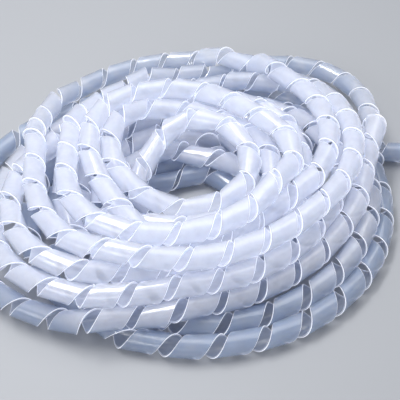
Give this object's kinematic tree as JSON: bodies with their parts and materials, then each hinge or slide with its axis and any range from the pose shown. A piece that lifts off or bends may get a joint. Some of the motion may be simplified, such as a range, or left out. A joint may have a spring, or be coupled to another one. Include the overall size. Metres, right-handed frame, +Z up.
{
  "type": "spiral cable wrap coil",
  "caption": "Loose coil of milky translucent spiral cable wrap, lying flat, with one free end.",
  "frame": {"origin": "middle of the coil's box, on the floor that it lies on", "axes": "+Z up from the floor, +X towards the free end, -Y towards the steep front of the coil"},
  "size_m": [0.2942, 0.2318, 0.0492],
  "materials": {
    "milky_polyethylene": "natural unpigmented polyethylene, milky and translucent, smooth and slightly glossy"
  },
  "bodies": {
    "root": {"spiral_wrap": "milky_polyethylene"}
  },
  "joints": []
}
